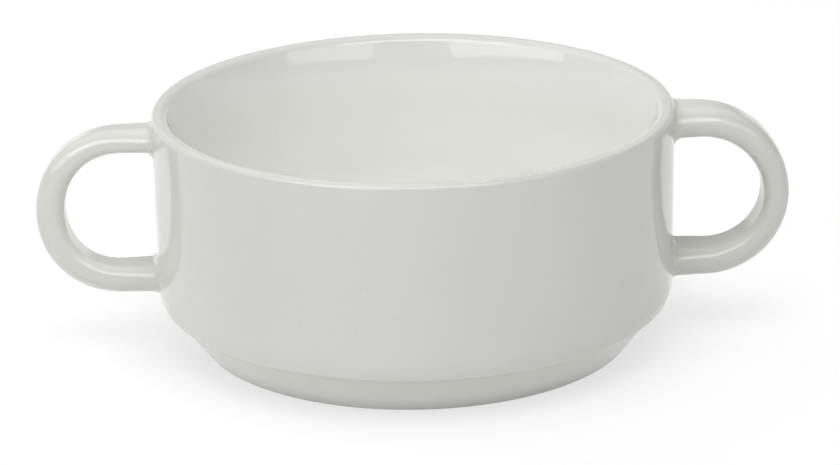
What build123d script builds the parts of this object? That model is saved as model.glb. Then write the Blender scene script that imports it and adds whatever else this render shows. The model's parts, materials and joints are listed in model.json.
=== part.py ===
"""A lug soup bowl: a deep stacking bowl of glazed stoneware with two loop handles.

The bowl is turned in one piece. Each handle is cast by itself, its two ends are cut to the curve
of the wall, and both ends are stuck on with a thin layer of slip. All pieces are fired together.
The origin is the middle of the foot, +Z is up, and the handles point along +X and -X.
Sizes are in millimetres.
"""
import os

from build123d import *

# Bowl, outside
rim_diameter = 110.0          # outside of the straight wall
height = 50.6                 # table to rim
ledge_height = 9.5            # table to the lower edge of the wall
ledge_setback_depth = 0.8     # the wall turns in by this much down to the ledge
wall_turn_height = 3.5        # height of that turn
ledge_step = 1.2              # the foot is set back this far under the ledge
ledge_drop = 0.4              # fall of the ledge's underside towards the foot
foot_taper = 6.8              # the foot narrows by this much at each side, down to the table
foot_ring_width = 4.0         # ring that the bowl stands on
foot_recess_depth = 2.6       # hollow under the base, inside the ring
foot_recess_draft = 1.2       # the ring's inner side leans by this much

# Bowl, inside
wall_thickness = 5.9          # straight lower wall
lip_thickness = 2.9           # wall at the rim, where it has flared and thinned
base_thickness = 5.2          # recess under the base to the inside floor
inner_straight = 13.2         # straight stretch of inner wall, between floor corner and flare

# Bowl, edges
lip_outer_radius = 1.1
lip_inner_radius = 1.8
ledge_edge_radius = 0.5
ledge_cove_radius = 1.0
foot_edge_radius = 0.6
recess_corner_radius = 1.5
floor_corner_radius = 14.0

# Handles
handle_drop = 2.4             # rim down to the top of the upper arm
handle_rise = 2.2             # ledge up to the underside of the lower arm
handle_reach = 22.2           # wall to the middle of the strap at the nose
handle_sag = 0.5              # the nose hangs this far below the middle of the loop
handle_thickness = 5.8
handle_width = 10.0           # round the loop
handle_root_width = 13.0      # each arm widens to this at the wall
handle_edge_radius = 2.6
handle_flare_radius = 1.2     # each arm spreads like this where it meets the wall

# Slip that holds the handles
slip_thickness = 0.35
slip_squeeze = 0.55           # the slip reaches this far beyond the sides of an arm
slip_clearance = 0.1          # between the slip and the end of an arm

# Values that follow from the sizes above
rim_radius = rim_diameter / 2
lip_inside = rim_radius - lip_thickness
lip_inner_edge = min(lip_inner_radius, lip_thickness - lip_outer_radius)
inner_radius = rim_radius - wall_thickness
floor_height = foot_recess_depth + base_thickness
flare_height = floor_height + floor_corner_radius + inner_straight
wall_end_height = ledge_height + wall_turn_height
ledge_radius = rim_radius - ledge_setback_depth
foot_top_radius = ledge_radius - ledge_step
foot_top_height = ledge_height - ledge_drop
foot_radius = foot_top_radius - foot_taper
foot_ring_inside = foot_radius - foot_ring_width
recess_radius = foot_ring_inside - foot_recess_draft

strap_edge = min(handle_edge_radius, 0.45 * handle_thickness)
strap_flare = min(handle_flare_radius, handle_rise)
strap_start_x = rim_radius - wall_thickness / 4
upper_arm_height = height - handle_drop - handle_thickness / 2
lower_arm_height = ledge_height + handle_rise + handle_thickness / 2
nose_x = rim_radius + handle_reach
nose_height = (upper_arm_height + lower_arm_height) / 2 - handle_sag
upper_turn_x = nose_x - (upper_arm_height - nose_height)
lower_turn_x = nose_x - (nose_height - lower_arm_height)

# Degrees of wall, each way from a handle, that are copied to fit the handle's ends
FITTING_ANGLE = 25.0


def wall_stretch(grow=0.0):
    """The outer wall where a handle sits, or the same wall grown by a layer of slip."""
    with BuildPart() as stretch:
        with BuildSketch(Plane.XZ.rotated((0, 0, -FITTING_ANGLE))):
            with BuildLine():
                wall = Line((rim_radius, wall_end_height), (rim_radius, height))
                turn = TangentArc(wall @ 0, (ledge_radius, ledge_height), tangent=(0, -1))
                Polyline(wall @ 1, (inner_radius, height), (inner_radius, ledge_height), turn @ 1)
            make_face()
            if grow:
                offset(amount=grow)
        revolve(axis=Axis.Z, revolution_arc=2 * FITTING_ANGLE)
    return stretch.part


# Bowl body: one profile turned about the bowl's axis
with BuildPart() as bowl_body:
    with BuildSketch(Plane.YZ) as profile:
        with BuildLine():
            wall = Line((rim_radius, height), (rim_radius, wall_end_height))
            turn = TangentArc(wall @ 1, (ledge_radius, ledge_height), tangent=(0, -1))
            inside = Polyline(
                turn @ 1,
                (foot_top_radius, foot_top_height),
                (foot_radius, 0),
                (foot_ring_inside, 0),
                (recess_radius, foot_recess_depth),
                (0, foot_recess_depth),
                (0, floor_height),
                (inner_radius, floor_height),
                (inner_radius, flare_height),
            )
            flare = TangentArc(inside @ 1, (lip_inside, height), tangent=(0, 1))
            Line(flare @ 1, wall @ 0)
        make_face()
        rounded_corners = [
            ((rim_radius, height), lip_outer_radius),
            ((lip_inside, height), lip_inner_edge),
            ((ledge_radius, ledge_height), ledge_edge_radius),
            ((foot_top_radius, foot_top_height), ledge_cove_radius),
            ((foot_radius, 0), foot_edge_radius),
            ((foot_ring_inside, 0), foot_edge_radius),
            ((recess_radius, foot_recess_depth), recess_corner_radius),
            ((inner_radius, floor_height), floor_corner_radius),
        ]
        for corner, radius in rounded_corners:
            fillet(profile.vertices().sort_by_distance(corner)[0], radius)
    revolve(axis=Axis.Z)

# Strap of one handle: a rounded section led round the loop, and two arms that widen to the wall
arms = {"upper": (upper_arm_height, upper_turn_x), "lower": (lower_arm_height, lower_turn_x)}
with BuildPart() as strap:
    with BuildLine(Plane.XZ):
        loop_start = (upper_turn_x, upper_arm_height)
        upper_turn = TangentArc(loop_start, (nose_x, nose_height), tangent=(1, 0))
        loop_end = (lower_turn_x, lower_arm_height)
        TangentArc(upper_turn @ 1, loop_end, tangent=upper_turn % 1)
    with BuildSketch(Plane.YZ.offset(upper_turn_x)):
        with Locations((0, upper_arm_height)):
            RectangleRounded(handle_width, handle_thickness, strap_edge)
    sweep()
    for arm_height, turn_x in arms.values():
        arm_length = turn_x - rim_radius
        for x in (strap_start_x, rim_radius + arm_length / 2, turn_x):
            widening = (handle_root_width - handle_width) * ((turn_x - x) / arm_length) ** 2
            with BuildSketch(Plane.YZ.offset(x)):
                with Locations((0, arm_height)):
                    RectangleRounded(handle_width + widening, handle_thickness, strap_edge)
        loft()

# Handle: the strap spreads where it meets the wall, and stops short by the layer of slip
bare_wall = wall_stretch()
handle_stop = wall_stretch(slip_thickness + slip_clearance)
with BuildPart() as handle_right:
    add(strap.part)
    add(bare_wall)
    fillet(new_edges(strap.part, bare_wall, combined=handle_right.part), strap_flare)
    add(handle_stop, mode=Mode.SUBTRACT)

with BuildPart() as handle_left:
    mirror(handle_right.part, about=Plane.YZ)

pieces = {
    "bowl_body": bowl_body.part,
    "handle_left": handle_left.part,
    "handle_right": handle_right.part,
}

# Slip: a thin curved pad between each arm and the wall, squeezed out a little all round
slipped_wall = wall_stretch(slip_thickness)
for level, (arm_height, turn_x) in arms.items():
    with BuildPart() as slip_right:
        with BuildSketch(Plane.YZ.offset(strap_start_x)):
            with Locations((0, arm_height)):
                RectangleRounded(
                    handle_root_width + 2 * slip_squeeze,
                    handle_thickness + 2 * slip_squeeze,
                    strap_edge + slip_squeeze,
                )
        extrude(amount=wall_thickness)
        add(slipped_wall, mode=Mode.INTERSECT)
        add(bare_wall, mode=Mode.SUBTRACT)
    with BuildPart() as slip_left:
        mirror(slip_right.part, about=Plane.YZ)
    pieces[f"slip_right_{level}"] = slip_right.part
    pieces[f"slip_left_{level}"] = slip_left.part

os.makedirs("parts", exist_ok=True)
for name, piece in pieces.items():
    piece.label = name
    export_step(piece, f"parts/{name}.step")
    print(f"{name}: {piece.volume:.1f} cubic millimetres")
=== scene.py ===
# %% [markdown]
# # A lug soup bowl
# This lesson dresses a stacking soup bowl with two loop handles. The bowl is white glazed
# stoneware: one turned body, two cast handles, and the slip that holds the handles on. The
# CAD model is loaded first, and its box is the limit for every piece. Each piece is then
# modelled again with even rows of faces, because a glaze shows every facet in its reflections.

import json
import math

import bmesh
import bpy
from mathutils import Matrix, Vector

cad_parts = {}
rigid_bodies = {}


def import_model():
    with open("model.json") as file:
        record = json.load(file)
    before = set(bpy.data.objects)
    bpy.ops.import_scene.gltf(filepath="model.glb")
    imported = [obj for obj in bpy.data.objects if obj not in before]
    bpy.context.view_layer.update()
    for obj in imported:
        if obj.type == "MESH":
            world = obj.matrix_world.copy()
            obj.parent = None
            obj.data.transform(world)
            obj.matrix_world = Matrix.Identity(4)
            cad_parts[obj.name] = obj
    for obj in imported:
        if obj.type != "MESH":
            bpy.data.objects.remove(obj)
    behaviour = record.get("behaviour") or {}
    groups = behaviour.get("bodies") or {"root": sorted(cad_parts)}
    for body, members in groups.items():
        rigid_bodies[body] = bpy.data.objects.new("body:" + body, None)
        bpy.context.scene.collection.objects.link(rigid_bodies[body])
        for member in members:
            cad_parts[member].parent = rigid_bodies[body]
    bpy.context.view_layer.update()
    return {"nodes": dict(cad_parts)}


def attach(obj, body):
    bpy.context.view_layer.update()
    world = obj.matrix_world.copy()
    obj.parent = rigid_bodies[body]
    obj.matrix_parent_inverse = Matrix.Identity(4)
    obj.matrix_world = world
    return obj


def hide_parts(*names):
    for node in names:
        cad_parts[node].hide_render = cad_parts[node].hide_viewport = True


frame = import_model()
scene = bpy.context.scene
print("CAD nodes:", ", ".join(sorted(frame["nodes"])))

# %% [markdown]
# ## Camera
# The bowl was photographed from a little above the rim with a long lens, so that its sides
# stay nearly parallel. A lens of about 128 mm from 0.64 m away gives that look. The camera
# leans by one degree, as the bowl does in the picture. A tracking constraint could aim it,
# but a plain place and three angles are easier to read and to change.

# %% Camera
SENSOR_WIDTH = 36.0
LENS = 127.55
CAMERA_PLACE = (-0.025542, -0.599413, 0.234070)
CAMERA_ANGLES = (70.49494, 0.97789, -2.88638)
camera_data = bpy.data.cameras.new("camera")
camera_data.sensor_width = SENSOR_WIDTH
camera_data.lens = LENS
camera = bpy.data.objects.new("camera", camera_data)
camera.location = CAMERA_PLACE
camera.rotation_euler = [math.radians(angle) for angle in CAMERA_ANGLES]
scene.collection.objects.link(camera)
scene.camera = camera
scene.view_settings.view_transform = "Standard"
print("camera distance:", round(camera.location.length, 3), "m")

# %% [markdown]
# ## Nodes, the short way
# Materials, floor and world are all node trees, and a tree that is built in code gets long.
# Two small helpers keep the cells short: one adds a node and fills in its settings and its
# unlinked inputs, the other links one output to one input. A third makes a mask that floor
# and world share. It tells a ray that shows something from a ray that only gathers light.


# %% Helpers for node trees
def add_node(tree, kind, values=None, **settings):
    """Adds a node. settings are its own properties, values its unlinked inputs."""
    made = tree.nodes.new("ShaderNode" + kind)
    for key, value in settings.items():
        setattr(made, key, value)
    for key, value in (values or {}).items():
        made.inputs[key].default_value = value
    return made


def link(tree, source, output, target, entry):
    """Links an output to an input. Both are given by name or by number."""
    tree.links.new(source.outputs[output], target.inputs[entry])


def seen_directly(tree):
    """A mask that is 1 for rays from the camera, from reflections and through glass."""
    path = add_node(tree, "LightPath")
    seen = add_node(tree, "Math", operation="MAXIMUM")
    link(tree, path, "Is Camera Ray", seen, 0)
    link(tree, path, "Is Glossy Ray", seen, 1)
    through = add_node(tree, "Math", operation="MAXIMUM")
    link(tree, seen, "Value", through, 0)
    link(tree, path, "Is Transmission Ray", through, 1)
    return through


# %% [markdown]
# ## Studio
# The picture is a plain product shot: white all round, soft light, and a pale shadow under
# the bowl. The world is white up to just above the horizon. Higher up it is dim, and less dim
# behind the bowl than in front of it. So the glaze mirrors the lamps, and not one even sky.
# A picture of a studio could do the same, but a few nodes are enough. This look is for the
# camera and for reflections. The light that the world adds is small, because the lamps do
# that work.

# %% World
WHITE = (1, 1, 1, 1)
AMBIENT = 0.05
CEILING = 0.1
BACKDROP = 0.3
BACKDROP_FULL = 0.7
HORIZON_WHITE = 0.05
HORIZON_END = 0.15
world = bpy.data.worlds.new("studio")
world.use_nodes = True
scene.world = world
sky = world.node_tree
sky.nodes.clear()
sky_place = add_node(sky, "TexCoord")
sky_axes = add_node(sky, "SeparateXYZ")
link(sky, sky_place, "Generated", sky_axes, "Vector")
behind_values = {"From Max": BACKDROP_FULL, "To Min": CEILING, "To Max": BACKDROP}
sky_high = add_node(sky, "MapRange", behind_values)
link(sky, sky_axes, "Y", sky_high, "Value")
horizon_values = {"From Min": HORIZON_WHITE, "From Max": HORIZON_END, "To Min": 1.0}
sky_fade = add_node(sky, "MapRange", horizon_values)
link(sky, sky_axes, "Z", sky_fade, "Value")
link(sky, sky_high, "Result", sky_fade, "To Max")
sky_light = add_node(sky, "Background", {"Color": WHITE, "Strength": AMBIENT})
sky_seen = add_node(sky, "Background", {"Color": WHITE})
link(sky, sky_fade, "Result", sky_seen, "Strength")
sky_mix = add_node(sky, "MixShader")
link(sky, seen_directly(sky), "Value", sky_mix, "Fac")
link(sky, sky_light, "Background", sky_mix, 1)
link(sky, sky_seen, "Background", sky_mix, 2)
link(sky, sky_mix, "Shader", add_node(sky, "OutputWorld"), "Surface")
print("even light:", AMBIENT)

# %% [markdown]
# ## Lamps
# Five softboxes light the bowl: one above, one to the left, a weaker one to the right, and
# two behind. The glaze mirrors the left and the right one, as pale patches inside the bowl.
# The other three are hidden from reflections, because they would lay false streaks across
# the handles. A sixth lamp works the other way round: it lights nothing, and shows only in
# the glaze, as the bright line along the handles. One lamp could not do both, because the
# best place for light is seldom the best place for a highlight.

# %% Lamps
LAMP_DISTANCE = 0.9
AIM_HEIGHT = 0.03


def soft_lamp(name, azimuth, elevation, size, watts, lights=True, mirrored=True):
    """A rectangular lamp that points at the bowl. Azimuth is from the camera's side, left positive.

    lights says whether it lights matt surfaces, and mirrored whether reflections show it.
    """
    around = math.radians(azimuth)
    up = math.radians(elevation)
    level = math.cos(up)
    away = Vector((-math.sin(around) * level, -math.cos(around) * level, math.sin(up)))
    lamp_data = bpy.data.lights.new(name, "AREA")
    lamp_data.shape = "RECTANGLE"
    lamp_data.size = size[0]
    lamp_data.size_y = size[1]
    lamp_data.energy = watts
    lamp = bpy.data.objects.new(name, lamp_data)
    lamp.location = away * LAMP_DISTANCE + Vector((0, 0, AIM_HEIGHT))
    lamp.rotation_euler = (-away).to_track_quat("-Z", "Y").to_euler()
    lamp.visible_diffuse = lights
    lamp.visible_glossy = mirrored
    scene.collection.objects.link(lamp)
    print(name, "at", [round(value, 2) for value in lamp.location])


soft_lamp("lamp_top", 0, 75, (0.7, 0.7), 5.2, mirrored=False)
soft_lamp("lamp_left", 53, 29, (1.0, 0.42), 2.45)
soft_lamp("lamp_right", -40, 27, (0.7, 0.4), 1.2)
soft_lamp("lamp_back_left", 130, 45, (0.5, 0.5), 1.85, mirrored=False)
soft_lamp("lamp_back", 180, 40, (0.9, 0.4), 2.2, mirrored=False)
soft_lamp("lamp_glint", 12, 48, (1.36, 0.45), 6.0, lights=False)

# %% [markdown]
# ## Floor
# The bowl stands on white paper. Under a light that suits the bowl, plain paper comes out
# grey, and more light would bleach the bowl. So the paper has two looks. For the camera and
# for reflections it is grey, which takes the shadow, with a glow on top that makes it white.
# For the light that it throws back it is plain white paper. The glow is a little weaker close
# to the foot, where real paper gets less light. From below the paper is clear, so that the
# base can be seen.

# %% Floor
FLOOR_HALF = 3.0
FLOOR_DROP = 0.00005
floor_shape = bmesh.new()
bmesh.ops.create_grid(floor_shape, x_segments=1, y_segments=1, size=FLOOR_HALF)
bmesh.ops.translate(floor_shape, verts=floor_shape.verts, vec=(0, 0, -FLOOR_DROP))
floor_mesh = bpy.data.meshes.new("floor")
floor_shape.to_mesh(floor_mesh)
floor_shape.free()
floor = bpy.data.objects.new("floor", floor_mesh)
scene.collection.objects.link(floor)
print("floor:", 2 * FLOOR_HALF, "m wide")

# %% Paper of the floor
PAPER_GLOW = 0.78
PAPER_SEEN = (0.24, 0.24, 0.24, 1)
PAPER_BOUNCE = (0.85, 0.85, 0.85, 1)
FOOT_SHADE = 0.83
FOOT_SHADE_REACH = 0.02
FOOT_SHADE_RAYS = 8
floor_paper = bpy.data.materials.new("floor_paper")
floor_paper.use_nodes = True
paper = floor_paper.node_tree
paper.nodes.clear()
paper_seen = seen_directly(paper)
paper_tone = add_node(paper, "Mix", {"A": PAPER_BOUNCE, "B": PAPER_SEEN}, data_type="RGBA")
link(paper, paper_seen, "Value", paper_tone, "Factor")
paper_matt = add_node(paper, "BsdfDiffuse")
link(paper, paper_tone, "Result", paper_matt, "Color")
near_values = {"Distance": FOOT_SHADE_REACH}
near_foot = add_node(paper, "AmbientOcclusion", near_values, samples=FOOT_SHADE_RAYS)
foot_shade = add_node(paper, "MapRange", {"To Min": FOOT_SHADE})
link(paper, near_foot, "AO", foot_shade, "Value")
shaded_glow = add_node(paper, "Math", operation="MULTIPLY")
link(paper, paper_seen, "Value", shaded_glow, 0)
link(paper, foot_shade, "Result", shaded_glow, 1)
glow_strength = add_node(paper, "Math", {1: PAPER_GLOW}, operation="MULTIPLY")
link(paper, shaded_glow, "Value", glow_strength, 0)
paper_glow = add_node(paper, "Emission", {"Color": WHITE})
link(paper, glow_strength, "Value", paper_glow, "Strength")
paper_front = add_node(paper, "AddShader")
link(paper, paper_matt, "BSDF", paper_front, 0)
link(paper, paper_glow, "Emission", paper_front, 1)
paper_back = add_node(paper, "BsdfTransparent")
paper_sides = add_node(paper, "MixShader")
link(paper, add_node(paper, "NewGeometry"), "Backfacing", paper_sides, "Fac")
link(paper, paper_front, "Shader", paper_sides, 1)
link(paper, paper_back, "BSDF", paper_sides, 2)
link(paper, paper_sides, "Shader", add_node(paper, "OutputMaterial"), "Surface")
floor_mesh.materials.append(floor_paper)
print("paper:", len(paper.nodes), "nodes")

# %% [markdown]
# ## Glaze
# A fired white glaze is never one flat colour. It is a little thicker in some places than in
# others, it has a gentle waviness and a fine skin like orange peel, and it has specks and
# pinholes. Bowl, handles and slip share all this. It could be repeated in each material, but
# a node group is made once: it takes a place and a tone, and gives a colour, a gloss value
# and a height.

# %% Glaze group
white_glaze = bpy.data.node_groups.new("white_glaze", "ShaderNodeTree")
glaze_inputs = {"Place": "Vector", "Tone": "Color", "Pooled_and_shaded": "Color", "Pool_and_shade": "Float"}
glaze_outputs = {"Colour": "Color", "Gloss": "Float", "Height": "Float"}
for socket_name, kind in glaze_inputs.items():
    white_glaze.interface.new_socket(socket_name, in_out="INPUT", socket_type="NodeSocket" + kind)
for socket_name, kind in glaze_outputs.items():
    white_glaze.interface.new_socket(socket_name, in_out="OUTPUT", socket_type="NodeSocket" + kind)
glaze_in = white_glaze.nodes.new("NodeGroupInput")
glaze_out = white_glaze.nodes.new("NodeGroupOutput")
clouds = add_node(white_glaze, "TexNoise", {"Scale": 42.0, "Detail": 3.0, "Roughness": 0.55})
grain = add_node(white_glaze, "TexNoise", {"Scale": 520.0, "Detail": 2.0, "Roughness": 0.5})
waves = add_node(white_glaze, "TexNoise", {"Scale": 95.0, "Detail": 1.0, "Roughness": 0.4})
specks = add_node(white_glaze, "TexVoronoi", {"Scale": 210.0, "Randomness": 1.0})
for texture in (clouds, grain, waves, specks):
    link(white_glaze, glaze_in, "Place", texture, "Vector")
print("glaze sockets:", ", ".join(list(glaze_inputs) + list(glaze_outputs)))

# %% [markdown]
# The tone comes first. Where the coat is thin it is a few percent darker, in soft clouds with
# some grain in them. Where a painted value is set, the pooled tone takes over. It stands for
# glaze run together, and in the step under the bowl's wall it is also painted shade.

# %% Tone of the glaze
THIN_TONE = (0.962, 0.96, 0.955, 1)
GRAIN_IN_TONE = 0.28
coat = add_node(white_glaze, "Math", {1: GRAIN_IN_TONE}, operation="MULTIPLY_ADD")
link(white_glaze, grain, "Fac", coat, 0)
link(white_glaze, clouds, "Fac", coat, 2)
thinness = add_node(white_glaze, "MapRange", {"From Min": 0.3, "From Max": 1.0})
link(white_glaze, coat, "Value", thinness, "Value")
uneven = add_node(white_glaze, "Mix", {"B": THIN_TONE}, data_type="RGBA", blend_type="MULTIPLY")
link(white_glaze, thinness, "Result", uneven, "Factor")
link(white_glaze, glaze_in, "Tone", uneven, "A")
pooled_and_shaded_mix = add_node(white_glaze, "Mix", data_type="RGBA")
link(white_glaze, glaze_in, "Pool_and_shade", pooled_and_shaded_mix, "Factor")
link(white_glaze, uneven, "Result", pooled_and_shaded_mix, "A")
link(white_glaze, glaze_in, "Pooled_and_shaded", pooled_and_shaded_mix, "B")
print("thin coat:", THIN_TONE[0], "of the tone")

# %% [markdown]
# Specks are grains of iron in the clay that burn through the glaze. A cell pattern scatters
# them: each cell has a random colour, which says whether it holds a speck and how dark the
# speck is. Most are faint and a few are dark. Loose dots of geometry could give the same, but
# they would be far too many pieces.

# %% Specks in the glaze
SPECK_TONE = (0.36, 0.33, 0.27, 1)
EMPTY_CELLS = 0.4
SPECK_CORE = 0.03
SPECK_EDGE = 0.07
FAINT_CELLS = 0.9
FAINT_SPECK = 0.14
DARK_SPECK = 0.6
chosen = add_node(white_glaze, "SeparateColor")
link(white_glaze, specks, "Color", chosen, "Color")
filled = add_node(white_glaze, "Math", {1: EMPTY_CELLS}, operation="GREATER_THAN")
link(white_glaze, chosen, "Red", filled, 0)
dot_values = {"From Min": SPECK_CORE, "From Max": SPECK_EDGE, "To Min": 1.0, "To Max": 0.0}
dot = add_node(white_glaze, "MapRange", dot_values)
link(white_glaze, specks, "Distance", dot, "Value")
filled_dot = add_node(white_glaze, "Math", operation="MULTIPLY")
link(white_glaze, filled, "Value", filled_dot, 0)
link(white_glaze, dot, "Result", filled_dot, 1)
depth_values = {"From Min": FAINT_CELLS, "To Min": FAINT_SPECK, "To Max": DARK_SPECK}
depth = add_node(white_glaze, "MapRange", depth_values)
link(white_glaze, chosen, "Green", depth, "Value")
speck = add_node(white_glaze, "Math", operation="MULTIPLY")
link(white_glaze, filled_dot, "Value", speck, 0)
link(white_glaze, depth, "Result", speck, 1)
speckled = add_node(white_glaze, "Mix", {"B": SPECK_TONE}, data_type="RGBA")
link(white_glaze, speck, "Value", speckled, "Factor")
link(white_glaze, pooled_and_shaded_mix, "Result", speckled, "A")
link(white_glaze, speckled, "Result", glaze_out, "Colour")
print("cells with a speck:", round(1 - EMPTY_CELLS, 2))

# %% [markdown]
# Gloss and height close the group. The gloss varies a little with the same clouds as the
# tone. The height is made of long waves, a trace of fine grain, and a pit at each speck.

# %% Gloss and height of the glaze
GLOSS_SMOOTH = 0.035
GLOSS_DULL = 0.07
GRAIN_IN_HEIGHT = 0.03
PIT_DEPTH = 0.78
gloss = add_node(white_glaze, "MapRange", {"To Min": GLOSS_SMOOTH, "To Max": GLOSS_DULL})
link(white_glaze, clouds, "Fac", gloss, "Value")
link(white_glaze, gloss, "Result", glaze_out, "Gloss")
skin = add_node(white_glaze, "Math", {1: GRAIN_IN_HEIGHT}, operation="MULTIPLY_ADD")
link(white_glaze, grain, "Fac", skin, 0)
link(white_glaze, waves, "Fac", skin, 2)
pitted = add_node(white_glaze, "Math", {1: -PIT_DEPTH}, operation="MULTIPLY_ADD")
link(white_glaze, speck, "Value", pitted, 0)
link(white_glaze, skin, "Value", pitted, 2)
link(white_glaze, pitted, "Value", glaze_out, "Height")
print("glaze group:", len(white_glaze.nodes), "nodes")

# %% [markdown]
# ## Materials
# Each finish places the glaze group, reads the piece's own coordinates and a painted value
# that says where glaze has run together, and on the bowl also where painted shade darkens the
# step under the wall, and ends in one shader. One material for everything would do, but the
# bowl needs more nodes, and the record has a slot for each kind of piece.

# %% Materials
GLAZE_IOR = 1.58
RELIEF = 0.00012
WALL_TONE = (0.774, 0.780, 0.745, 1)
# The handle tone is greyer than the wall. It is painted shade, which darkens the tops of the handles
# and of the slip.
HANDLE_SHADED_TONE = (0.758, 0.763, 0.729, 1)
# The pooled tone is darker and yellower. It stands for glaze run together, and in the step under the
# bowl's wall it is also painted shade.
POOLED_AND_SHADED_TONE = (0.675, 0.67, 0.60, 1)


def glazed_material(name, tone):
    """A glazed finish. Returns the material, its glaze node and its shader."""
    made = bpy.data.materials.new(name)
    made.use_nodes = True
    tree = made.node_tree
    shader = tree.nodes["Principled BSDF"]
    shader.inputs["IOR"].default_value = GLAZE_IOR
    place = add_node(tree, "TexCoord")
    pool_and_shade_paint = add_node(tree, "Attribute", attribute_name="pool_and_shade")
    glaze = tree.nodes.new("ShaderNodeGroup")
    glaze.node_tree = white_glaze
    glaze.inputs["Tone"].default_value = tone
    glaze.inputs["Pooled_and_shaded"].default_value = POOLED_AND_SHADED_TONE
    link(tree, place, "Object", glaze, "Place")
    link(tree, pool_and_shade_paint, "Fac", glaze, "Pool_and_shade")
    relief = add_node(tree, "Bump", {"Strength": 1.0, "Distance": RELIEF})
    link(tree, glaze, "Height", relief, "Height")
    link(tree, glaze, "Colour", shader, "Base Color")
    link(tree, glaze, "Gloss", shader, "Roughness")
    link(tree, relief, "Normal", shader, "Normal")
    return made, glaze, shader


bowl_glaze, bowl_coat, bowl_shader = glazed_material("bowl_glaze", WALL_TONE)
handle_glaze = glazed_material("handle_glaze", HANDLE_SHADED_TONE)[0]
slip_glaze = glazed_material("slip_glaze", HANDLE_SHADED_TONE)[0]
print("materials:", ", ".join(sorted(item.name for item in bpy.data.materials)))

# %% [markdown]
# ## Tones of the bowl
# The bowl is painted whiter inside and low on the foot. This is painted light, which makes
# those places brighter. It is a little greyer on the lip, where glaze draws back from the edge
# and painted shade darkens the top of the lip. Separate materials would meet in hard lines, so
# both places are painted on the mesh and blend the tones.

# %% Tones of the bowl
# The inside tone is whiter than the wall. It is painted light, which makes the inside and the low foot
# brighter.
INSIDE_LIT_TONE = (0.858, 0.863, 0.839, 1)
# The lip tone is greyer. It stands for glaze that is thin at the edge, and it is also painted shade
# that darkens the top of the lip.
LIP_SHADED_TONE = (0.755, 0.76, 0.73, 1)
bowl_tree = bowl_glaze.node_tree
lit_inside_and_foot = add_node(bowl_tree, "Attribute", attribute_name="lit_inside_and_foot")
wall_and_lit_inside_tone = add_node(bowl_tree, "Mix", {"A": WALL_TONE, "B": INSIDE_LIT_TONE}, data_type="RGBA")
link(bowl_tree, lit_inside_and_foot, "Fac", wall_and_lit_inside_tone, "Factor")
thin_and_shaded_lip = add_node(bowl_tree, "Attribute", attribute_name="thin_and_shaded_lip")
bowl_tone = add_node(bowl_tree, "Mix", {"B": LIP_SHADED_TONE}, data_type="RGBA")
link(bowl_tree, thin_and_shaded_lip, "Fac", bowl_tone, "Factor")
link(bowl_tree, wall_and_lit_inside_tone, "Result", bowl_tone, "A")
link(bowl_tree, bowl_tone, "Result", bowl_coat, "Tone")
print("bowl tones: wall, inside, lip")

# %% [markdown]
# ## Bare ring under the foot
# The ring that the bowl stands on is wiped clean before firing, or the glaze would stick to
# the kiln shelf. Bare clay shows there, rougher and warmer than the glaze. A sponge leaves no
# straight line, so the height above the table decides, made uneven by a noise.

# %% Bare ring under the foot
CLAY_TONE = (0.62, 0.57, 0.49, 1)
CLAY_GRAIN_TONE = (0.70, 0.66, 0.58, 1)
CLAY_ROUGHNESS = 0.75
WIPE_WOBBLE = 0.0003
WIPE_LOW = 0.00002
WIPE_HIGH = 0.00012
foot_place = add_node(bowl_tree, "TexCoord")
foot_axes = add_node(bowl_tree, "SeparateXYZ")
link(bowl_tree, foot_place, "Object", foot_axes, "Vector")
foot_wobble = add_node(bowl_tree, "TexNoise", {"Scale": 160.0, "Detail": 3.0})
link(bowl_tree, foot_place, "Object", foot_wobble, "Vector")
foot_line = add_node(bowl_tree, "Math", {1: -WIPE_WOBBLE}, operation="MULTIPLY_ADD")
link(bowl_tree, foot_wobble, "Fac", foot_line, 0)
link(bowl_tree, foot_axes, "Z", foot_line, 2)
wipe_values = {"From Min": WIPE_LOW, "From Max": WIPE_HIGH, "To Min": 1.0, "To Max": 0.0}
wiped = add_node(bowl_tree, "MapRange", wipe_values)
link(bowl_tree, foot_line, "Value", wiped, "Value")
clay_grain = add_node(bowl_tree, "TexNoise", {"Scale": 1900.0, "Detail": 4.0})
link(bowl_tree, foot_place, "Object", clay_grain, "Vector")
clay_values = {"A": CLAY_TONE, "B": CLAY_GRAIN_TONE}
clay_tone = add_node(bowl_tree, "Mix", clay_values, data_type="RGBA")
link(bowl_tree, clay_grain, "Fac", clay_tone, "Factor")
bowl_colour = add_node(bowl_tree, "Mix", data_type="RGBA")
link(bowl_tree, wiped, "Result", bowl_colour, "Factor")
link(bowl_tree, bowl_coat, "Colour", bowl_colour, "A")
link(bowl_tree, clay_tone, "Result", bowl_colour, "B")
link(bowl_tree, bowl_colour, "Result", bowl_shader, "Base Color")
bowl_gloss = add_node(bowl_tree, "Mix", {"B": CLAY_ROUGHNESS}, data_type="FLOAT")
link(bowl_tree, wiped, "Result", bowl_gloss, "Factor")
link(bowl_tree, bowl_coat, "Gloss", bowl_gloss, "A")
link(bowl_tree, bowl_gloss, "Result", bowl_shader, "Roughness")
print("bowl glaze:", len(bowl_tree.nodes), "nodes")

# %% [markdown]
# ## Pieces
# Bowl, handles and slip all end in the same way: scaled to metres, shaded smooth, and handed
# to the frame as a stand-in for a CAD node. They are modelled in millimetres, because small
# roundings are easier to follow that way. Values for the materials are painted at the
# vertices, where no texture has to be fitted.

# %% Helpers for pieces
MILLIMETRE = 0.001
MERGE_DISTANCE = 0.001


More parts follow.
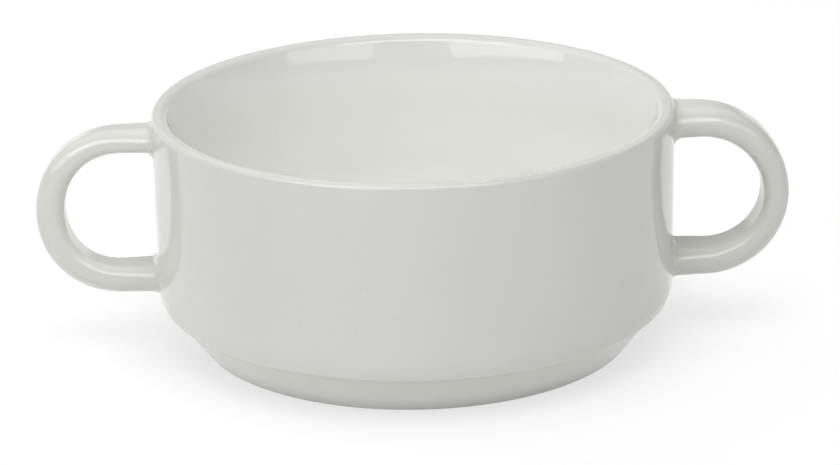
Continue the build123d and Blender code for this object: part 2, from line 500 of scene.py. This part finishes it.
def finish_piece(shape, name, material, slot, *nodes):
    """Scales a shape to metres and makes it a smooth piece that stands for CAD nodes."""
    bmesh.ops.scale(shape, vec=(MILLIMETRE, MILLIMETRE, MILLIMETRE), verts=shape.verts)
    for face in shape.faces:
        face.smooth = True
    mesh = bpy.data.meshes.new(name)
    shape.to_mesh(mesh)
    shape.free()
    mesh.materials.append(material)
    piece = bpy.data.objects.new(name, mesh)
    scene.collection.objects.link(piece)
    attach(piece, "root")
    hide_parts(*nodes)
    print(name + ":", len(mesh.polygons), "faces")


def paint(shape, layer_name, amount):
    """Paints a value at each vertex. amount takes a place in millimetres."""
    layer = shape.verts.layers.float.new(layer_name)
    for vertex in shape.verts:
        vertex[layer] = amount(vertex.co)


def split_long_edges(shape, edges, longest):
    """Divides each edge that is longer than longest into equal parts."""
    for edge in list(edges):
        parts = math.ceil(edge.calc_length() / longest)
        if parts > 1:
            bmesh.ops.subdivide_edges(shape, edges=[edge], cuts=parts - 1)


# %% [markdown]
# ## Bowl
# A bowl like this is turned: a template cuts its profile while the clay spins. The mesh is
# made in the same way. The profile starts as twelve points joined by straight lines, and a
# bevel rounds every corner between its two ends. The inside flare and the turn of the wall
# above the ledge are long arcs. Each starts as the corner where its tangents meet, rounded a
# little less than the arc, which leaves room for the next rounding.

# %% Profile of the bowl
RIM_HEIGHT = 50.6
PROFILE_EDGE = 2.0
STEPS_LEAST = 5
DEGREES_PER_STEP = 5
# radius, height and rounding of each point, from the middle of the floor to the base
bowl_points = [
    (0.0, 7.8, 0.0),
    (49.1, 7.8, 14.0),
    (49.1, 43.088, 35.5),
    (52.1, RIM_HEIGHT, 1.8),
    (55.0, RIM_HEIGHT, 1.1),
    (55.0, 11.159, 6.9),
    (54.2, 9.5, 0.5),
    (53.0, 9.1, 1.0),
    (46.2, 0.0, 0.6),
    (42.2, 0.0, 0.6),
    (41.0, 2.6, 1.5),
    (0.0, 2.6, 0.0),
]
bowl_shape = bmesh.new()
profile = [bowl_shape.verts.new((radius, 0, height)) for radius, height, _ in bowl_points]
for pair in zip(profile, profile[1:]):
    bowl_shape.edges.new(pair)
roundings = []
for index in range(1, len(profile) - 1):
    corner = profile[index].co
    to_last = (profile[index - 1].co - corner).normalized()
    to_next = (profile[index + 1].co - corner).normalized()
    opening = to_last.angle(to_next)
    reach = bowl_points[index][2] / math.tan(opening / 2)
    steps = max(STEPS_LEAST, round(math.degrees(math.pi - opening) / DEGREES_PER_STEP))
    roundings.append((profile[index], reach, steps))
for vertex, reach, steps in roundings:
    bmesh.ops.bevel(
        bowl_shape, geom=[vertex], offset=reach, offset_type="OFFSET", segments=steps,
        profile=0.5, affect="VERTICES", material=-1,
    )
split_long_edges(bowl_shape, bowl_shape.edges, PROFILE_EDGE)
print("profile:", len(bowl_shape.edges), "edges")

# %% [markdown]
# A full spin turns the line into a body. A Screw modifier could do it as well, but here the
# result is at hand at once for merging the poles and for painting.

# %% Turned body
TURN_STEPS = 240
bmesh.ops.spin(
    bowl_shape, geom=bowl_shape.verts[:] + bowl_shape.edges[:], cent=(0, 0, 0), axis=(0, 0, 1),
    angle=2 * math.pi, steps=TURN_STEPS, use_merge=True,
)
bmesh.ops.remove_doubles(bowl_shape, verts=bowl_shape.verts, dist=MERGE_DISTANCE)
bmesh.ops.recalc_face_normals(bowl_shape, faces=bowl_shape.faces)
print("turned body:", len(bowl_shape.faces), "faces")

# %% [markdown]
# Three values are painted on the bowl for its material. The first marks the step under the
# wall, where glaze runs together and painted shade darkens it. The second is painted light: a
# whiter tone inside the bowl and low on the foot. The third marks the top of the lip, where
# glaze draws back from the edge and painted shade darkens it.

# %% Paint of the bowl
FOOT_INSIDE = 44.0
STEP_TOP = 9.3
STEP_POOL_AND_SHADE = 0.9
STEP_POOL_AND_SHADE_HEIGHT = 8.8
STEP_POOL_AND_SHADE_FADE = 2.4
LIT_FOOT_TOP = 7.0
LIT_FOOT_LENGTH = 4.0
LIT_INSIDE_RADIUS = 53.9
LIT_INSIDE_FADE = 1.6
LIP_SHADE_FADE = 0.8


def step_pool_and_shade(place):
    """Glaze runs together in the step under the wall, with painted shade there too, and both fade down
    the foot.
    """
    radius = math.hypot(place.x, place.y)
    if place.z > STEP_TOP or radius < FOOT_INSIDE:
        return 0.0
    return STEP_POOL_AND_SHADE * math.exp(-(((place.z - STEP_POOL_AND_SHADE_HEIGHT) / STEP_POOL_AND_SHADE_FADE) ** 2))


def lighter_inside_and_foot(place):
    """1 where painted light makes the bowl whiter: inside the bowl, and low on the foot."""
    radius = math.hypot(place.x, place.y)
    if place.z < LIT_FOOT_TOP and radius > FOOT_INSIDE:
        return max(0.0, min(1.0, (LIT_FOOT_TOP - place.z) / LIT_FOOT_LENGTH))
    if place.z < LIT_FOOT_TOP:
        return 0.0
    return max(0.0, min(1.0, (LIT_INSIDE_RADIUS - radius) / LIT_INSIDE_FADE))


def lip_thin_and_shaded(place):
    """1 at the top of the lip, where glaze draws back from the edge and painted shade darkens it."""
    return math.exp(-(((place.z - RIM_HEIGHT) / LIP_SHADE_FADE) ** 2))


paint(bowl_shape, "pool_and_shade", step_pool_and_shade)
paint(bowl_shape, "thin_and_shaded_lip", lip_thin_and_shaded)
paint(bowl_shape, "lit_inside_and_foot", lighter_inside_and_foot)
finish_piece(bowl_shape, "bowl", bowl_glaze, "bowl_glaze", "bowl_body")

# %% [markdown]
# ## Handles
# Each handle is a strap with a rounded section that runs out from the wall, round a loop and
# back. It could be a curve with a bevel, but then its ends could not follow the wall. Here a
# rounded rectangle is extruded ring by ring. Each ring gets its own place, turn, width and
# thickness, so the arms can widen towards the wall as soft clay does. The last rings at each
# end spread out and take the curve of the wall, like clay pressed against it.

# %% Wall under the roots
WALL_RADIUS = 55.0
TURN_START = 13.0
TURN_RADIUS = 8.056
LIP_START = 49.5
LIP_RADIUS = 1.1
ROOT_LIMIT = 50.1


def wall_radius(height):
    """Radius of the bowl's outside: straight, then turning in near the ledge and at the lip."""
    below = max(0.0, TURN_START - height)
    above = max(0.0, height - LIP_START)
    turned_in = TURN_RADIUS - math.sqrt(TURN_RADIUS**2 - below**2)
    return WALL_RADIUS - turned_in - LIP_RADIUS + math.sqrt(LIP_RADIUS**2 - above**2)


def set_on_wall(vertices, distance):
    """Moves vertices along X until they are this far outside the wall, and none above the limit."""
    for vertex in vertices:
        vertex.co.z = min(vertex.co.z, ROOT_LIMIT)
        radius = wall_radius(vertex.co.z) + distance
        vertex.co.x = math.sqrt(radius**2 - vertex.co.y**2)


print("wall radius:", WALL_RADIUS, "mm, and", round(wall_radius(ROOT_LIMIT), 2), "at the roots' limit")

# %% Section of the strap
STRAP_WIDTH = 10.0
STRAP_THICKNESS = 5.8
OUTER_EDGE = 3.2
INNER_EDGE = 2.2
EDGE_STEPS = 12
SECTION_EDGE = 0.8


def strap_section(shape):
    """A closed line of edges across the X axis at the origin, with rounder corners outside."""
    bmesh.ops.create_grid(shape, x_segments=1, y_segments=1, size=STRAP_WIDTH / 2)
    bmesh.ops.scale(shape, vec=(1, STRAP_THICKNESS / STRAP_WIDTH, 1), verts=shape.verts)
    outer = [vertex for vertex in shape.verts if vertex.co.y > 0]
    inner = [vertex for vertex in shape.verts if vertex.co.y < 0]
    for corners, rounding in ((outer, OUTER_EDGE), (inner, INNER_EDGE)):
        bmesh.ops.bevel(
            shape, geom=corners, offset=rounding, offset_type="OFFSET", segments=EDGE_STEPS,
            profile=0.5, affect="VERTICES", material=-1,
        )
    split_long_edges(shape, shape.edges, SECTION_EDGE)
    bmesh.ops.delete(shape, geom=shape.faces[:], context="FACES_ONLY")
    upright = Matrix(((0, 0, 1), (1, 0, 0), (0, 1, 0)))
    bmesh.ops.rotate(shape, cent=(0, 0, 0), matrix=upright, verts=shape.verts)
    return shape.edges[:]


def extrude_ring(shape, ring, move):
    """Extrudes a ring of edges and moves the new ring by a matrix. Returns it and its vertices."""
    made = bmesh.ops.extrude_edge_only(shape, edges=ring)["geom"]
    vertices = [item for item in made if isinstance(item, bmesh.types.BMVert)]
    new_vertices = set(vertices)
    edges = [item for item in made if isinstance(item, bmesh.types.BMEdge)]
    bmesh.ops.transform(shape, matrix=move, verts=vertices)
    return [edge for edge in edges if new_vertices.issuperset(edge.verts)], vertices


print("strap:", STRAP_WIDTH, "by", STRAP_THICKNESS, "mm")

# %% [markdown]
# Both handles come from one mould, but they are trimmed and stuck on by hand. So each has its
# own small differences: the left one is thinner at its upper arm and leans back, the right one
# widens over a longer stretch and its upper arm sits higher. Two short tables hold them, in
# millimetres and degrees. Thickness is given for upper arm, nose and lower arm, and fullness
# for the upper and the lower half of the loop, where 2 is a round bend.

# %% Two hand-set handles
LEFT = {
    "upper": 44.83, "lower": 14.64, "nose_x": 77.05, "nose": 29.56,
    "width": 10.11, "root_width": 13.88, "widening": 6.34,
    "thickness": (4.92, 6.02, 5.77), "fullness": (2.1, 2.13),
    "yaw": 0.4, "lean": -3.41, "tilt": -0.38,
}
RIGHT = {
    "upper": 45.99, "lower": 14.45, "nose_x": 76.97, "nose": 29.26,
    "width": 9.64, "root_width": 13.42, "widening": 10.1,
    "thickness": (6.2, 5.49, 6.18), "fullness": (2.0, 2.0),
    "yaw": 1.18, "lean": 1.82, "tilt": 0.36,
}
print("upper arms:", LEFT["upper"], "and", RIGHT["upper"], "mm above the table")

# %% [markdown]
# A station is the matrix that brings the section to its place on the strap. Near the wall the
# section also spreads, along a hollow quarter round: more to the inside of the loop than to
# its outside, as a thumb would press it.

# %% Stations of a strap
FLARE = 1.8
OUTER_SHARE = 0.35
SIDE_SHARE = 0.5


def turned(angle, axis):
    """Matrix of a turn by an angle in degrees."""
    return Matrix.Rotation(math.radians(angle), 4, axis)


def strap_station(hand, x, height, turn, spread=0.0):
    """Matrix that puts a section in its place. turn is 0 on the upper arm, 180 on the lower."""
    upper, nose, lower = hand["thickness"]
    share = (1 - math.cos(math.radians(2 * turn))) / 2
    end = upper if turn < 90 else lower
    thickness = end + (nose - end) * share + (1 + OUTER_SHARE) * spread
    more = (hand["root_width"] - hand["width"]) * math.exp((WALL_RADIUS - x) / hand["widening"])
    width = hand["width"] + more + 2 * SIDE_SHARE * spread
    size = Matrix.Diagonal((1, width / STRAP_WIDTH, thickness / STRAP_THICKNESS, 1))
    inward = Matrix.Translation((0, 0, (OUTER_SHARE - 1) * spread / 2))
    place = Matrix.Translation((x, 0, height)) @ turned(turn, "Y") @ inward @ size
    middle = Vector((WALL_RADIUS, 0, (hand["upper"] + hand["lower"]) / 2))
    lean = turned(hand["lean"], "X")
    tilt = turned(-hand["tilt"], "Y")
    settle = Matrix.Translation(middle) @ lean @ tilt @ Matrix.Translation(-middle)
    return turned(-hand["yaw"], "Z") @ settle @ place


def root_station(hand, level, angle, sunk=0.0):
    """Matrix for a ring of the spread end, at an angle of its hollow, and distance to the wall."""
    spread = FLARE * (1 - math.cos(math.radians(angle))) - sunk
    distance = FLARE * (1 - math.sin(math.radians(angle)))
    turn = 0 if level == "upper" else 180
    return strap_station(hand, WALL_RADIUS + distance, hand[level], turn, spread), distance


print("hollow of the spread ends:", FLARE, "mm")

# %% Path of a strap
ARM_STEPS = 6
LOOP_STEPS = 28


def strap_path(hand):
    """Stations of the strap from the upper root, round the loop, to the lower root."""
    upper_turn = hand["nose_x"] - (hand["upper"] - hand["nose"])
    lower_turn = hand["nose_x"] - (hand["nose"] - hand["lower"])
    root_x = WALL_RADIUS + FLARE
    path = []
    for step in range(ARM_STEPS):
        x = root_x + (upper_turn - root_x) * step / ARM_STEPS
        path.append(strap_station(hand, x, hand["upper"], 0))
    for step in range(2 * LOOP_STEPS + 1):
        turn = 90 * step / LOOP_STEPS
        centre_x = upper_turn if step <= LOOP_STEPS else lower_turn
        fullness = hand["fullness"][0 if step <= LOOP_STEPS else 1]
        radius = hand["nose_x"] - centre_x
        across = abs(math.sin(math.radians(turn))) ** (2 / fullness)
        upward = abs(math.cos(math.radians(turn))) ** (2 / fullness)
        x = centre_x + radius * across
        height = hand["nose"] + (radius if turn < 90 else -radius) * upward
        path.append(strap_station(hand, x, height, turn))
    for step in range(1, ARM_STEPS + 1):
        x = lower_turn + (root_x - lower_turn) * step / ARM_STEPS
        path.append(strap_station(hand, x, hand["lower"], 180))
    return path


print("stations of a strap:", len(strap_path(LEFT)))

# %% [markdown]
# The handle itself is now short work: one section, one extrusion for each station, and the
# spread ends. Glaze gathers a little where an arm meets the wall, so that place is painted.

# %% Handles
FLARE_ANGLES = (8.0, 16.0, 24.0, 32.0, 40.0, 48.6)
ROOT_POOL = 0.15
ROOT_POOL_FADE = 0.8


def close_end(shape, ring):
    """Closes a ring with one face. A sharp border lets the skin shade on its own."""
    bmesh.ops.contextual_create(shape, geom=ring)
    for edge in ring:
        edge.smooth = False


def flare_end(shape, ring, hand, level):
    """Adds the rings that spread towards the wall, and closes the end."""
    last, distance = root_station(hand, level, 0)
    set_on_wall({vertex for edge in ring for vertex in edge.verts}, distance)
    for angle in FLARE_ANGLES:
        place, distance = root_station(hand, level, angle)
        ring, vertices = extrude_ring(shape, ring, place @ last.inverted())
        set_on_wall(vertices, distance)
        last = place
    close_end(shape, ring)


def root_pool(place):
    """Glaze gathers at the wall and fades along the arm."""
    return ROOT_POOL * math.exp(-(((abs(place.x) - WALL_RADIUS) / ROOT_POOL_FADE) ** 2))


def loop_handle(name, side, hand, node):
    """One handle. side is 1 on the right and -1 on the left."""
    shape = bmesh.new()
    first = strap_section(shape)
    path = strap_path(hand)
    bmesh.ops.transform(shape, matrix=path[0], verts=shape.verts)
    ring = first
    for last, place in zip(path, path[1:]):
        ring, _ = extrude_ring(shape, ring, place @ last.inverted())
    flare_end(shape, first, hand, "upper")
    flare_end(shape, ring, hand, "lower")
    bmesh.ops.scale(shape, vec=(side, 1, 1), verts=shape.verts)
    bmesh.ops.remove_doubles(shape, verts=shape.verts, dist=MERGE_DISTANCE)
    bmesh.ops.recalc_face_normals(shape, faces=shape.faces)
    paint(shape, "pool_and_shade", root_pool)
    finish_piece(shape, name, handle_glaze, "handle_glaze", node)


loop_handle("left_handle", -1, LEFT, "handle_left")
loop_handle("right_handle", 1, RIGHT, "handle_right")

# %% [markdown]
# ## Slip
# Slip is clay thinned with water, used as glue. It squeezes out round the end of each arm, is
# wiped into a small hollow fillet, and leaves a fine seam under the glaze. A fillet could be
# part of the handle, but then no seam would show. Each bead starts from the same section as
# the strap and carries the flare on to the wall. Its first ring hides just inside the arm,
# and its last one just inside the wall, so that no gap is left.

# %% Slip beads
BEAD_ANGLES = (44.0, 50.5, 56.0, 62.0, 68.0, 74.0, 80.0, 86.0)
BEAD_SINK = 0.08


def slip_bead(name, side, hand, level, node):
    """The slip round one end of one arm."""
    shape = bmesh.new()
    ring = strap_section(shape)
    last, distance = root_station(hand, level, BEAD_ANGLES[0], BEAD_SINK)
    bmesh.ops.transform(shape, matrix=last, verts=shape.verts)
    set_on_wall(shape.verts, distance)
    close_end(shape, ring)
    for angle in BEAD_ANGLES[1:]:
        place, distance = root_station(hand, level, angle)
        ring, vertices = extrude_ring(shape, ring, place @ last.inverted())
        set_on_wall(vertices, distance)
        last = place
    for edge in ring:
        edge.smooth = False
    ring, vertices = extrude_ring(shape, ring, Matrix.Identity(4))
    set_on_wall(vertices, -BEAD_SINK)
    close_end(shape, ring)
    bmesh.ops.scale(shape, vec=(side, 1, 1), verts=shape.verts)
    bmesh.ops.recalc_face_normals(shape, faces=shape.faces)
    paint(shape, "pool_and_shade", lambda place: ROOT_POOL)
    finish_piece(shape, name, slip_glaze, "slip_glaze", node)


for side_name, side, hand in (("left", -1, LEFT), ("right", 1, RIGHT)):
    for level in ("upper", "lower"):
        slip_bead(f"{side_name}_{level}_bead", side, hand, level, f"slip_{side_name}_{level}")
